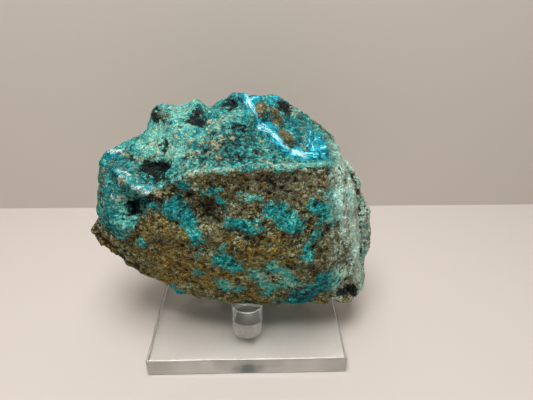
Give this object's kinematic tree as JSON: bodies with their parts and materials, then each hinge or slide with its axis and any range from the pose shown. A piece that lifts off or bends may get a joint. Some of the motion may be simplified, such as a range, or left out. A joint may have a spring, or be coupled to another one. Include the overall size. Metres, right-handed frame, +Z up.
{
  "type": "chrysocolla specimen",
  "caption": "Broken lump of blue-green copper-stained rock resting on round pegs of a clear square display stand.",
  "frame": {"origin": "middle of the underside of the stand's plate", "axes": "+Z up, -Y towards the viewer of the broken brown front face, +X to that viewer's right"},
  "size_m": [0.1182, 0.0804, 0.1015],
  "materials": {
    "stone": "rough broken rock, brown and turquoise",
    "acrylic": "clear polished acrylic"
  },
  "bodies": {
    "root": {"chrysocolla_stone": "stone", "stand_plate": "acrylic", "peg_front": "acrylic", "peg_rear_left": "acrylic", "peg_rear_right": "acrylic"}
  },
  "joints": []
}
